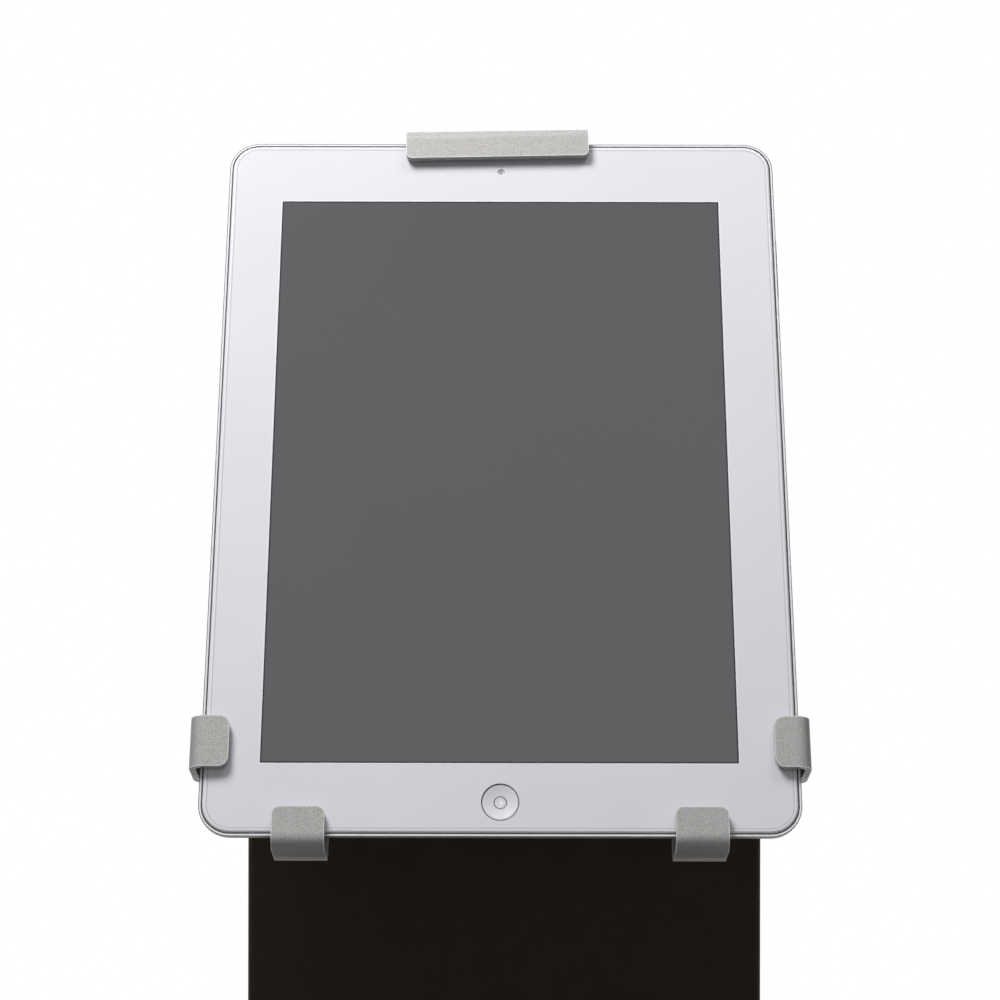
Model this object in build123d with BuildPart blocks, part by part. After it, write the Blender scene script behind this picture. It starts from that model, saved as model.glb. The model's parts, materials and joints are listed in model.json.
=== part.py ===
from build123d import *
import os
from math import cos, radians, sin, sqrt

# Adjustable tablet floor stand, in millimetres.
# A steel base carries a wide sheet-steel column. A mast slides in the column and is clamped by a knob.
# On the mast a bracket tilts, and on the bracket a bent sheet-metal holder turns, with a tablet in it.
# +X is to the right of someone who faces the screen, +Y points away from them and +Z is up.
# The origin is on the floor, under the middle of the base.

os.makedirs("parts", exist_ok=True)

# Fits and gaps
running_gap = 0.05          # round a pin that turns in its hole
slide_gap = 0.3             # beside a flat face that slides
axial_gap = 0.1             # between flat faces that turn on each other
weld_gap = 0.2              # between a welded or pushed-in piece and what holds it
cut_overrun = 1.0           # how far a cut runs past a face

# Base
base_width = 380.0
base_depth = 400.0
base_thickness = 8.0
base_corner_radius = 25.0
base_edge_radius = 1.5
foot_height = 4.0
foot_radius = 20.0
foot_inset = 40.0           # from the base's edges to the middle of a foot
foot_edge_radius = 0.8
foot_recess_radius = 5.6
foot_recess_depth = 2.2
foot_screw_radius = 2.5
foot_screw_head_radius = 5.0
foot_screw_head_height = 1.8
foot_screw_length = 9.0
anchor_spacing_x = 240.0
anchor_spacing_y = 320.0
anchor_hole_radius = 5.0

# Column
column_width = 170.0
column_height = 985.0       # top edge of the column over the floor
column_sheet = 1.5
column_edge_radius = 2.5
shell_depth = 48.5
column_centre_y = 12.0      # middle of the mast, over the base
rear_opening_width = 130.0
column_foot_thickness = 6.0
column_bolt_radius = 4.0
column_bolt_head_radius = 6.5
column_bolt_head_height = 4.0
column_bolt_spacing_x = 130.0
column_bolt_spacing_y = 24.0
counterbore_depth = 4.6
counterbore_radius = 7.5

# Rear cover, its screws and the cable outlet
cover_side_gap = 1.0
cover_corner_radius = 3.0
cover_screw_radius = 2.0
cover_screw_head_radius = 3.8
cover_screw_head_height = 2.2
cover_screw_length = 7.0
cover_screw_edge = 11.0     # from the column's side to a screw's axis
cover_screw_end = 35.0      # from the ends of the cover to the first screws
cover_screw_rows = 4
cable_slot_width = 40.0
cable_slot_height = 18.0
cable_slot_rise = 58.0      # over the base plate
grommet_lip = 3.0
grommet_lip_thickness = 1.5
grommet_wall = 2.0

# Guides that the mast slides in
cap_thickness = 3.0
cap_edge_radius = 1.0
cap_block_depth = 22.0
cap_pocket_wall = 4.0
guide_screw_drop = 12.0     # from the column's top edge to the side screws
guide_screw_spacing = 22.0
guide_screw_radius = 2.0
guide_screw_head_radius = 3.8
guide_screw_head_height = 2.0
guide_screw_length = 5.0
lower_guide_drop = 150.0    # from the column's top edge to the lower guide
lower_guide_thickness = 3.0
liner_wall = 3.5
liner_flange = 2.5
liner_flange_thickness = 2.0
liner_below = 3.0

# Mast
mast_width = 80.0
mast_depth = 30.0
mast_wall = 2.0
mast_corner_radius = 4.0
mast_exposed = 22.0         # over the column's top edge when the mast is down
mast_travel = 200.0
collar_height = 12.0
collar_wall = 5.0
mast_tail = 4.0             # tube below the collar

# Height clamp
clamp_drop = 45.0           # from the column's top edge to the clamp screw
crossbar_thickness = 4.0
crossbar_height = 40.0
clamp_screw_radius = 5.0
brake_pad_radius = 9.0
brake_pad_thickness = 2.6
clamp_hole_gap = 2.0
height_knob_radius = 22.0
height_knob_length = 20.0
height_knob_standoff = 2.5
height_knob_flutes = 7
knob_edge_radius = 1.5
flute_place_share = 1.13    # of the knob's radius, to the middle of a flute
flute_radius_share = 0.27   # of the knob's radius

# Mast head and tilt joint
rest_tilt = 22.3            # degrees that the tablet leans back
axis_rise = 54.0            # tilt axis over the column's top edge
axis_behind_front = 21.5    # tilt axis behind the column's front face
plug_depth = 20.0
saddle_thickness = 4.0
saddle_overhang = 2.0
cable_hole_radius = 8.0     # down through the head into the hollow mast
ear_thickness = 3.0
head_side = -1.4            # middle of the ears beside the middle of the mast
mast_ear_radius = 14.0
head_screw_drop = 9.0
head_screw_spacing = 44.0
head_screw_radius = 2.5
head_screw_head_radius = 4.5
head_screw_head_height = 2.5
head_screw_length = 7.0
tilt_pin_radius = 4.0
tilt_pin_head_height = 5.3
tilt_pin_head_flats = 13.0
tilt_washer_radius = 11.0
tilt_washer_thickness = 1.0
tilt_knob_radius = 16.0
tilt_knob_length = 18.0
tilt_knob_flutes = 6
bracket_half_width = 24.0
bracket_ear_radius = 12.0
spacer_radius = 7.0
web_thickness = 3.0
web_height = 52.0
web_corner_radius = 6.0
axis_behind_web = 20.3

# Swivel joint between the bracket and the holder
swivel_disc_radius = 26.0
swivel_disc_thickness = 1.2
swivel_bolt_radius = 4.0
swivel_bolt_head_radius = 8.0
swivel_bolt_head_height = 2.7
swivel_bolt_tail = 2.2
swivel_washer_radius = 8.0
swivel_washer_thickness = 1.6
swivel_nut_flats = 13.0
swivel_nut_height = 6.5
hex_key_flats = 5.0
hex_key_depth = 1.6
stop_pin_radius = 2.75
stop_pin_place = 19.0       # from the swivel's axis
stop_pin_proud = 1.2
stop_slot_gap = 0.25

# Holder: bent sheet with two side hooks and two bottom hooks
sheet = 2.0
bend_radius = 2.5           # inside the bends
lip_gap = 1.0               # between the lips and the glass
hook_width = 16.2
side_hook_room = 3.5        # from the tablet's side to the outside of a side hook
left_hook_lip = 12.4
right_hook_lip = 11.5
side_hook_rise = 37.5       # from the tablet's lower end up to the top of a side hook
side_corner_radius = 3.2
bottom_hook_room = 4.35     # from the tablet's lower end to the outside of a bottom hook
bottom_hook_lip = 13.0
bottom_hook_inset = 31.0    # from the tablet's side to the middle of a bottom hook
bottom_corner_radius = 2.4
spine_width = 90.0
spine_drop = 13.4           # from the tablet's upper end down to the holder's
lower_plate_inset = 18.6    # from the tablet's side to that of the holder's wide part
lower_plate_height = 47.0
lower_plate_rise = 12.4     # from the tablet's lower end up to the holder's
plate_corner_radius = 8.0
rest_pad_radius = 8.0
rest_pad_height = 6.0
upper_pad_across = 30.0
upper_pad_rise = 66.0
lower_pad_inset = 32.6      # from the tablet's side to the middle of a lower pad
lower_pad_rise = 37.4       # from the tablet's lower end up to the middle of a lower pad
liner_thickness = 1.2
liner_end_gap = 1.0
liner_front = 2.0           # behind the glass's front
liner_back = 12.0
bottom_pad_front = 1.6
bottom_pad_back = 12.4

# Top clip, which slides on the back of the holder, and its lock
clip_skew = 1.2             # degrees that the clip sits askew in its guides
clip_width = 62.4
clip_room = 5.35            # from the tablet's upper end to the outside of the clip
clip_lip = 12.0
clip_corner_radius = 2.2
clip_shoulder = 20.0        # height of the wide part behind the tablet
slot_end_room = 14.0        # from the lock's slot to the tongue's end
tongue_width = 40.0
tongue_bottom = 34.0
tongue_corner_radius = 4.0
lock_drop = 31.4            # from the tablet's upper end down to the lock screw
lock_side = -0.7            # lock screw beside the tablet's centre line
lock_screw_radius = 3.0
lock_slot_gap = 0.4
clip_pad_thickness = 2.6
clip_pad_width = 52.0
clip_pad_front = 2.0
clip_pad_back = 14.0
guide_bottom = 46.0
guide_drop = 19.4           # from the tablet's upper end down to the guides
guide_play = 1.2
guide_foot = 8.0
guide_overlap = 4.0
guide_cap_thickness = 1.6
rivet_radius = 1.6
rivet_head_radius = 3.0
rivet_head_height = 1.2
rivet_end = 8.0             # from a guide's ends to its rivets
press_nut_radius = 5.5
press_nut_height = 2.8
lock_washer_radius = 8.5
lock_washer_thickness = 1.0
lock_knob_radius = 11.0
lock_knob_length = 14.0
lock_knob_flutes = 5

# Tablet
side_border = 18.7          # from the screen to the tablet's sides
end_border = 22.85          # from the screen to the tablet's ends
tablet_thickness = 9.4
tablet_corner_radius = 10.0
tablet_back_radius = 8.0
tablet_pocket_radius = 5.0
tablet_side_wall = 3.3
tablet_back_wall = 1.2
rim_drop = 0.4              # rim's front behind the glass's front
rim_width = 0.6
rim_edge_radius = 0.25
gasket_width = 0.55
gasket_drop = 0.5
glass_thickness = 1.2
glass_edge_radius = 0.8
screen_width = 147.8
screen_height = 197.1
screen_rise = 0.25          # from the tablet's centre up to the screen's middle
display_margin = 2.0
display_thickness = 2.2
battery_cells = 3
battery_cell_gap = 2.0
battery_side_room = 15.6    # from the tablet's side to the battery
battery_top_room = 69.4     # from the tablet's upper end to the battery
battery_bottom_room = 53.4
battery_gap = 0.3           # behind the display
board_side_room = 17.6      # from the tablet's side to the board
board_height = 32.0
board_thickness = 1.2
board_drop = 43.4           # from the tablet's upper end down to the board's middle
board_corner_radius = 2.0
chip_size = 13.0
chip_height = 1.3
chip_spacing = 28.0
chip_count = 4
window_side_room = 34.1     # from the tablet's side to the plastic window in its top rim
window_height = 9.0
button_rise = 10.75         # from the tablet's lower end up to the home button
button_radius = 5.5
button_hole_gap = 0.2
button_flange_radius = 6.2
button_flange_thickness = 0.9
button_face_depth = 0.15
button_dish_depth = 0.6
button_rim_width = 0.35
button_travel = 0.4
switch_width = 14.0
switch_height = 2.6
camera_drop = 11.15         # from the tablet's upper end down to the front camera
camera_hole_radius = 1.2
camera_lens_depth = 0.35
camera_body = 6.0
camera_body_thickness = 2.4
rear_camera_inset = 14.6    # from the tablet's side to the rear camera
rear_camera_drop = 15.4     # from the tablet's upper end down to the rear camera
rear_camera_radius = 3.2
rear_camera_length = 3.0
rear_camera_proud = 0.2
key_thickness = 1.7         # power and volume keys, across the rim
key_depth = 2.4             # middle of the keys behind the glass's front
key_proud = 0.25
key_travel = 0.2
key_stem = 2.0              # length inside the rim's wall
key_gap = 0.1
power_key_length = 11.0
power_key_inset = 18.6      # from the tablet's side to the power key's middle
volume_key_length = 22.0
volume_key_drop = 47.4      # from the tablet's upper end down to the volume key's middle
port_width = 21.0
port_height = 2.6
port_depth = 4.2            # middle of the port behind the glass's front
port_wall = 0.4
port_reach = 3.2
port_recess = 1.3

# Places on the base and the column that follow from the sizes above
base_top = foot_height + base_thickness
column_front_y = column_centre_y - (shell_depth + column_sheet) / 2
shell_rear_y = column_front_y + shell_depth
shell_centre_y = column_front_y + shell_depth / 2
cover_rear_y = shell_rear_y + column_sheet
inner_width = column_width - 2 * column_sheet
inner_depth = shell_depth - 2 * column_sheet
inner_corner_radius = column_edge_radius - column_sheet
foot_spacing_x = base_width - 2 * foot_inset
foot_spacing_y = base_depth - 2 * foot_inset
cover_height = column_height - base_top - cover_side_gap
cover_centre_z = base_top + cover_side_gap + cover_height / 2
cover_row_pitch = (cover_height - 2 * cover_screw_end) / (cover_screw_rows - 1)
cover_screw_spacing_x = column_width - 2 * cover_screw_edge
cable_slot_z = base_top + cable_slot_rise
guide_screw_z = column_height - guide_screw_drop
mast_front_y = column_centre_y - mast_depth / 2
mast_rear_y = column_centre_y + mast_depth / 2
mast_top = column_height + mast_exposed
saddle_top = mast_top + saddle_thickness
lower_guide_top = column_height - lower_guide_drop
liner_bottom = lower_guide_top - lower_guide_thickness - liner_below
collar_bottom = liner_bottom - slide_gap - mast_travel - collar_height
mast_bottom = collar_bottom - mast_tail
clamp_z = column_height - clamp_drop
crossbar_rear_y = shell_rear_y - column_sheet
brake_rear_y = mast_rear_y + axial_gap + brake_pad_thickness
height_knob_front_y = cover_rear_y + height_knob_standoff
tilt_axis_y = column_front_y + axis_behind_front
tilt_axis_z = column_height + axis_rise
ear_inner_x = bracket_half_width + axial_gap + tilt_washer_thickness
ear_outer_x = ear_inner_x + ear_thickness
tilt_knob_inner_x = ear_outer_x + axial_gap

# Sizes and places on the tablet that follow from its screen's, measured from the tablet's centre
tablet_width = screen_width + 2 * side_border
tablet_height = screen_height + 2 * end_border
tablet_side = tablet_width / 2
tablet_end = tablet_height / 2
battery_space = tablet_width - 2 * battery_side_room - (battery_cells - 1) * battery_cell_gap
battery_cell_width = battery_space / battery_cells
battery_cell_height = tablet_height - battery_top_room - battery_bottom_room
battery_drop = (battery_top_room - battery_bottom_room) / 2
board_width = tablet_width - 2 * board_side_room
board_rise = tablet_end - board_drop
window_width = tablet_width - 2 * window_side_room
button_drop = tablet_end - button_rise
camera_rise = tablet_end - camera_drop
rear_camera_across = tablet_side - rear_camera_inset
rear_camera_rise = tablet_end - rear_camera_drop
power_key_across = tablet_side - power_key_inset
volume_key_rise = tablet_end - volume_key_drop

# Sizes and places on the holder and its clip that follow from the tablet's, from the same centre
side_hook_reach = tablet_side + side_hook_room
side_hook_drop = tablet_end - side_hook_rise
bottom_hook_reach = tablet_end + bottom_hook_room
bottom_hook_place = tablet_side - bottom_hook_inset
spine_top = tablet_end - spine_drop
lower_plate_width = tablet_width - 2 * lower_plate_inset
lower_plate_bottom = lower_plate_rise - tablet_end
lower_plate_top = lower_plate_bottom + lower_plate_height
lower_pad_across = tablet_side - lower_pad_inset
lower_pad_drop = tablet_end - lower_pad_rise
lock_place = tablet_end - lock_drop
clip_reach = tablet_end + clip_room
clip_travel = lock_place - tongue_bottom - slot_end_room
guide_top = tablet_end - guide_drop

# Depths behind the glass's front, measured square to the screen
plate_front = tablet_thickness + rest_pad_height
plate_back = plate_front + sheet
disc_front = plate_back + axial_gap
web_front = disc_front + swivel_disc_thickness
web_back = web_front + web_thickness
axis_depth = web_back + axis_behind_web
nut_front = web_back + swivel_washer_thickness
bolt_head_back = plate_front - axial_gap
tongue_front = plate_back + slide_gap
tongue_back = tongue_front + sheet
guide_cap_front = tongue_back + slide_gap
guide_back = guide_cap_front + guide_cap_thickness
lock_washer_front = tongue_back + axial_gap
lock_knob_front = lock_washer_front + lock_washer_thickness + axial_gap
pocket_floor = tablet_thickness - tablet_back_wall
display_back = glass_thickness + display_thickness
button_back = glass_thickness + running_gap + button_flange_thickness
switch_front = button_back + button_travel + axial_gap

# The tablet's own directions: across, up the slope and out of the glass
tilt = radians(rest_tilt)
across = Vector(1, 0, 0)
up_slope = Vector(0, sin(tilt), cos(tilt))
outward = Vector(0, -cos(tilt), sin(tilt))
tablet_centre = Vector(head_side, tilt_axis_y, tilt_axis_z) + outward * axis_depth
skew = radians(clip_skew)
clip_across = across * cos(skew) + up_slope * sin(skew)
clip_up = up_slope * cos(skew) - across * sin(skew)
lock_point = tablet_centre + up_slope * lock_place + across * lock_side
square_to_glass = Axis((0, 0, 0), outward)

# Rivets of the clip guides, and the clip's outer face above the lock screw
guide_centre = tongue_width / 2 + guide_play + guide_foot / 2
rivet_points = [
    (side * guide_centre, rise)
    for side in (-1, 1)
    for rise in (guide_bottom + rivet_end, guide_top - rivet_end)
]
clip_outer = clip_reach - lock_place


def facing(depth):
    """Parallel to the glass, at a depth behind its front. Sketch x is across and y is up the slope."""
    return Plane(origin=tablet_centre - outward * depth, x_dir=across, z_dir=outward)


def crossing(rise):
    """Square to the slope at a height up it. Sketch x is across, y is out of the glass; extrudes down."""
    return Plane(origin=tablet_centre + up_slope * rise, x_dir=across, z_dir=up_slope * -1)


def beside(offset):
    """Square to X beside the tablet's centre. Sketch x is up the slope, y is out of the glass."""
    return Plane(origin=tablet_centre + across * offset, x_dir=up_slope, z_dir=across)


def clip_facing(depth):
    """Like facing, but square with the clip and centred on its lock screw."""
    return Plane(origin=lock_point - outward * depth, x_dir=clip_across, z_dir=outward)


def clip_beside():
    """Like beside, but square with the clip and centred on its lock screw."""
    return Plane(origin=lock_point, x_dir=clip_up, z_dir=clip_across)


def upright(y):
    """Square to Y at a place along it. Sketch x is X and y is Z; extrudes to the front."""
    return Plane.XZ.offset(-y)


def sideways(x):
    """Square to X at a place along it. Sketch x is Y and y is Z; extrudes to the right."""
    return Plane.YZ.offset(x)


def bent_strip(start, reach, lip, side, depth):
    """A strip of sheet from the holder's flat, round the tablet's edge and back over its glass.

    start and reach are measured from the sketch's middle, lip from the strip's outer face. depth is
    that of the flat's front face behind the glass, and side is -1 for a strip that goes the other way.
    """
    back = -depth - sheet / 2
    front = lip_gap + sheet / 2
    middle = reach - sheet / 2
    with BuildLine() as strip:
        FilletPolyline(
            (side * start, back),
            (side * middle, back),
            (side * middle, front),
            (side * (reach - lip), front),
            radius=bend_radius + sheet / 2,
        )
    trace(strip.line, line_width=sheet)


def fluted_circle(radius, flutes):
    """Outline of a clamping knob."""
    Circle(radius)
    with PolarLocations(radius * flute_place_share, flutes):
        Circle(radius * flute_radius_share, mode=Mode.SUBTRACT)


def hexagon(flats, mode=Mode.ADD):
    """Outline of a bolt's head, a nut or a key's socket, by its width across flats."""
    RegularPolygon(flats / 2, 6, major_radius=False, mode=mode)


def foot_circles(radius, mode=Mode.ADD):
    """A circle at each foot."""
    with GridLocations(foot_spacing_x, foot_spacing_y, 2, 2):
        Circle(radius, mode=mode)


def column_bolt_circles(radius, mode=Mode.ADD):
    """A circle at each bolt that holds the column on the base."""
    with Locations((0, shell_centre_y)):
        with GridLocations(column_bolt_spacing_x, column_bolt_spacing_y, 2, 2):
            Circle(radius, mode=mode)


def cover_screw_circles(radius, mode=Mode.ADD):
    """A circle at each screw of the rear cover."""
    with Locations((0, cover_centre_z)):
        with GridLocations(cover_screw_spacing_x, cover_row_pitch, 2, cover_screw_rows):
            Circle(radius, mode=mode)


def guide_screw_circles(radius):
    """A circle at each screw in one side of the upper guide."""
    with Locations((shell_centre_y, guide_screw_z)):
        with GridLocations(guide_screw_spacing, guide_screw_spacing, 2, 1):
            Circle(radius)


def head_screw_circles(radius):
    """A circle at each screw in one face of the mast's head."""
    with Locations((0, mast_top - head_screw_drop)):
        with GridLocations(head_screw_spacing, head_screw_spacing, 2, 1):
            Circle(radius)


def tilt_circle(radius, mode=Mode.ADD):
    """A circle about the tilt axis, in a sketch square to X."""
    with Locations((tilt_axis_y, tilt_axis_z)):
        Circle(radius, mode=mode)


def column_inside(gap):
    """The space inside the column, drawn in by a gap."""
    with Locations((0, shell_centre_y)):
        RectangleRounded(inner_width - 2 * gap, inner_depth - 2 * gap, inner_corner_radius)


def mast_section(grow, mode=Mode.ADD):
    """The mast's outline in the column, grown by a gap or a wall on every side."""
    with Locations((0, column_centre_y)):
        RectangleRounded(
            mast_width + 2 * grow, mast_depth + 2 * grow, mast_corner_radius + grow, mode=mode
        )


def tablet_outline(inset):
    """The tablet's outline, drawn in by an inset."""
    RectangleRounded(
        tablet_width - 2 * inset, tablet_height - 2 * inset, tablet_corner_radius - inset
    )


def swivel_holes():
    """Holes for the swivel bolt and the stop pin."""
    Circle(swivel_bolt_radius + running_gap, mode=Mode.SUBTRACT)
    with Locations((0, -stop_pin_place)):
        Circle(stop_pin_radius + running_gap, mode=Mode.SUBTRACT)


def is_on_lip(edge):
    return (edge.center() - tablet_centre).dot(outward) > 0


def is_on_side_hook(edge):
    return is_on_lip(edge) and abs(edge.center().X) > bottom_hook_place + hook_width


def is_on_bottom_hook(edge):
    return is_on_lip(edge) and abs(edge.center().X) < bottom_hook_place + hook_width


def is_at_tongue_end(edge):
    return (edge.center() - lock_point).dot(clip_up) < -clip_travel


# Base plate, its feet and their screws
with BuildPart() as base_plate:
    with BuildSketch(Plane.XY.offset(foot_height)):
        RectangleRounded(base_width, base_depth, base_corner_radius)
        with GridLocations(anchor_spacing_x, anchor_spacing_y, 2, 2):
            Circle(anchor_hole_radius, mode=Mode.SUBTRACT)
        foot_circles(foot_screw_radius + running_gap, Mode.SUBTRACT)
        column_bolt_circles(column_bolt_radius + weld_gap, Mode.SUBTRACT)
    extrude(amount=base_thickness)
    fillet(base_plate.faces().sort_by(Axis.Z)[-1].outer_wire().edges(), base_edge_radius)
    with BuildSketch(Plane.XY.offset(foot_height)):
        column_bolt_circles(counterbore_radius)
    extrude(amount=counterbore_depth, mode=Mode.SUBTRACT)

with BuildPart() as foot_pads:
    with BuildSketch():
        foot_circles(foot_radius)
    extrude(amount=foot_height)
    fillet(foot_pads.edges().group_by(Axis.Z)[0], foot_edge_radius)
    with BuildSketch():
        foot_circles(foot_recess_radius)
    extrude(amount=foot_recess_depth, mode=Mode.SUBTRACT)
    with BuildSketch():
        foot_circles(foot_screw_radius + running_gap)
    extrude(amount=foot_height, mode=Mode.SUBTRACT)

with BuildPart() as foot_screws:
    with BuildSketch(Plane.XY.offset(foot_recess_depth)):
        foot_circles(foot_screw_head_radius)
    extrude(amount=-foot_screw_head_height)
    with BuildSketch(Plane.XY.offset(foot_recess_depth)):
        foot_circles(foot_screw_radius)
    extrude(amount=foot_screw_length)

# Column: foot plate inside it, the bolts that come up through the base, and the folded shell
with BuildPart() as column_foot:
    with BuildSketch(Plane.XY.offset(base_top)):
        column_inside(weld_gap)
        column_bolt_circles(column_bolt_radius + running_gap, Mode.SUBTRACT)
    extrude(amount=column_foot_thickness)

with BuildPart() as column_bolts:
    bolt_seat = foot_height + counterbore_depth
    with BuildSketch(Plane.XY.offset(bolt_seat)):
        column_bolt_circles(column_bolt_head_radius)
    extrude(amount=-column_bolt_head_height)
    with BuildSketch(Plane.XY.offset(bolt_seat)):
        column_bolt_circles(column_bolt_radius)
    extrude(amount=base_top + column_foot_thickness - bolt_seat)
    with BuildSketch(Plane.XY.offset(bolt_seat - column_bolt_head_height)):
        with Locations((0, shell_centre_y)):
            with GridLocations(column_bolt_spacing_x, column_bolt_spacing_y, 2, 2):
                hexagon(hex_key_flats)
    extrude(amount=hex_key_depth, mode=Mode.SUBTRACT)

with BuildPart() as column_shell:
    with BuildSketch(Plane.XY.offset(base_top)):
        with Locations((0, shell_centre_y)):
            RectangleRounded(column_width, shell_depth, column_edge_radius)
            RectangleRounded(inner_width, inner_depth, inner_corner_radius, mode=Mode.SUBTRACT)
        with Locations((0, shell_rear_y)):
            Rectangle(rear_opening_width, 2 * column_sheet + cut_overrun, mode=Mode.SUBTRACT)
    extrude(amount=column_height - base_top)
    with BuildSketch(upright(shell_rear_y)):
        cover_screw_circles(cover_screw_radius + running_gap)
    extrude(amount=column_sheet + cut_overrun, mode=Mode.SUBTRACT)
    with BuildSketch(sideways(0)):
        guide_screw_circles(guide_screw_radius + weld_gap)
    extrude(amount=column_width, both=True, mode=Mode.SUBTRACT)

with BuildPart() as rear_cover:
    with BuildSketch(upright(cover_rear_y)):
        with Locations((0, cover_centre_z)):
            RectangleRounded(column_width - 2 * cover_side_gap, cover_height, cover_corner_radius)
        cover_screw_circles(cover_screw_radius + weld_gap, Mode.SUBTRACT)
        with Locations((0, clamp_z)):
            Circle(clamp_screw_radius + clamp_hole_gap, mode=Mode.SUBTRACT)
        with Locations((0, cable_slot_z)):
            SlotOverall(cable_slot_width, cable_slot_height, mode=Mode.SUBTRACT)
    extrude(amount=column_sheet)

with BuildPart() as cover_screws:
    with BuildSketch(upright(cover_rear_y)):
        cover_screw_circles(cover_screw_head_radius)
    extrude(amount=-cover_screw_head_height)
    fillet(cover_screws.edges().group_by(Axis.Y)[-1], cover_screw_head_height / 2)
    with BuildSketch(upright(cover_rear_y)):
        cover_screw_circles(cover_screw_radius)
    extrude(amount=cover_screw_length)

with BuildPart() as cable_grommet:
    for lip_y in (cover_rear_y + grommet_lip_thickness, shell_rear_y):
        with BuildSketch(upright(lip_y)):
            with Locations((0, cable_slot_z)):
                SlotOverall(cable_slot_width + 2 * grommet_lip, cable_slot_height + 2 * grommet_lip)
        extrude(amount=grommet_lip_thickness)
    with BuildSketch(upright(cover_rear_y)):
        with Locations((0, cable_slot_z)):
            SlotOverall(cable_slot_width, cable_slot_height)
    extrude(amount=column_sheet)
    with BuildSketch(upright(cover_rear_y + grommet_lip_thickness)):
        with Locations((0, cable_slot_z)):
            SlotOverall(cable_slot_width - 2 * grommet_wall, cable_slot_height - 2 * grommet_wall)
    extrude(amount=column_sheet + 2 * grommet_lip_thickness, mode=Mode.SUBTRACT)

# Upper guide, which also closes the column, and the screws in its sides
with BuildPart() as top_guide:
    with BuildSketch(Plane.XY.offset(column_height)):
        with Locations((0, column_centre_y)):
            RectangleRounded(column_width, shell_depth + column_sheet, column_edge_radius)
    extrude(amount=cap_thickness)
    fillet(top_guide.faces().sort_by(Axis.Z)[-1].outer_wire().edges(), cap_edge_radius)
    with BuildSketch(Plane.XY.offset(column_height)):
        column_inside(weld_gap)
    extrude(amount=-cap_block_depth)
    pocket_inner = mast_width / 2 + slide_gap + cap_pocket_wall
    pocket_outer = inner_width / 2 - weld_gap - cap_pocket_wall
    with BuildSketch(Plane.XY.offset(column_height)):
        with Locations((0, shell_centre_y)):
            with GridLocations(pocket_inner + pocket_outer, inner_depth, 2, 1):
                Rectangle(pocket_outer - pocket_inner, inner_depth - 2 * cap_pocket_wall)
    extrude(amount=-cap_block_depth, mode=Mode.SUBTRACT)
    with BuildSketch(Plane.XY.offset(column_height + cap_thickness)):
        mast_section(slide_gap)
    extrude(amount=-cap_thickness - cap_block_depth, mode=Mode.SUBTRACT)
    for side in (-1, 1):
        with BuildSketch(sideways(side * column_width / 2)):
            guide_screw_circles(guide_screw_radius + running_gap)
        extrude(amount=-side * (guide_screw_length + cut_overrun), mode=Mode.SUBTRACT)

with BuildPart() as top_guide_screws:
    for side in (-1, 1):
        with BuildSketch(sideways(side * column_width / 2)):
            guide_screw_circles(guide_screw_head_radius)
        extrude(amount=side * guide_screw_head_height)
    fillet(top_guide_screws.edges().group_by(Axis.X)[0], guide_screw_head_height / 2)
    fillet(top_guide_screws.edges().group_by(Axis.X)[-1], guide_screw_head_height / 2)
    for side in (-1, 1):
        with BuildSketch(sideways(side * column_width / 2)):
            guide_screw_circles(guide_screw_radius)
        extrude(amount=-side * guide_screw_length)

# Lower guide: a steel plate across the column, with a plastic liner
with BuildPart() as lower_guide_plate:
    with BuildSketch(Plane.XY.offset(lower_guide_top)):
        column_inside(weld_gap)
        mast_section(slide_gap + liner_wall + weld_gap, Mode.SUBTRACT)
    extrude(amount=-lower_guide_thickness)

with BuildPart() as lower_guide_liner:
    with BuildSketch(Plane.XY.offset(lower_guide_top)):
        mast_section(slide_gap + liner_wall + liner_flange)
    extrude(amount=liner_flange_thickness)
    with BuildSketch(Plane.XY.offset(lower_guide_top)):
        mast_section(slide_gap + liner_wall)
    extrude(amount=liner_bottom - lower_guide_top)
    with BuildSketch(Plane.XY.offset(lower_guide_top + liner_flange_thickness)):
        mast_section(slide_gap)
    extrude(amount=liner_bottom - lower_guide_top - liner_flange_thickness, mode=Mode.SUBTRACT)

# Height clamp: crossbar with a threaded hole, brake pad on the mast, knob and its screw
with BuildPart() as lock_crossbar:
    with BuildSketch(upright(crossbar_rear_y)):
        with Locations((0, clamp_z)):
            Rectangle(inner_width - 2 * inner_corner_radius, crossbar_height)
            Circle(clamp_screw_radius + running_gap, mode=Mode.SUBTRACT)
        cover_screw_circles(cover_screw_radius + running_gap, Mode.SUBTRACT)
    extrude(amount=crossbar_thickness)

with BuildPart() as brake_pad:
    with BuildSketch(upright(brake_rear_y)):
        with Locations((0, clamp_z)):
            Circle(brake_pad_radius)
    extrude(amount=brake_pad_thickness)

with BuildPart() as height_knob:
    with BuildSketch(upright(height_knob_front_y)):
        with Locations((0, clamp_z)):
            fluted_circle(height_knob_radius, height_knob_flutes)
    extrude(amount=-height_knob_length)
    fillet(height_knob.edges().group_by(Axis.Y)[-1], knob_edge_radius)
    fillet(height_knob.edges().group_by(Axis.Y)[0], knob_edge_radius)
    with BuildSketch(upright(height_knob_front_y)):
        with Locations((0, clamp_z)):
            Circle(clamp_screw_radius + running_gap)
    extrude(amount=-height_knob_length / 2, mode=Mode.SUBTRACT)

with BuildPart() as height_lock_screw:
    with BuildSketch(upright(brake_rear_y + axial_gap)):
        with Locations((0, clamp_z)):
            Circle(clamp_screw_radius)
    extrude(amount=brake_rear_y + axial_gap - height_knob_front_y - height_knob_length / 2)

# Mast, its stop collar, and the head that is screwed into its top
with BuildPart() as mast_tube:
    with BuildSketch(Plane.XY.offset(mast_bottom)):
        mast_section(0)
        mast_section(-mast_wall, Mode.SUBTRACT)
    extrude(amount=mast_top - mast_bottom)
    with BuildSketch(upright(mast_rear_y)):
        head_screw_circles(head_screw_radius + running_gap)
    extrude(amount=mast_depth, mode=Mode.SUBTRACT)

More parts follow.
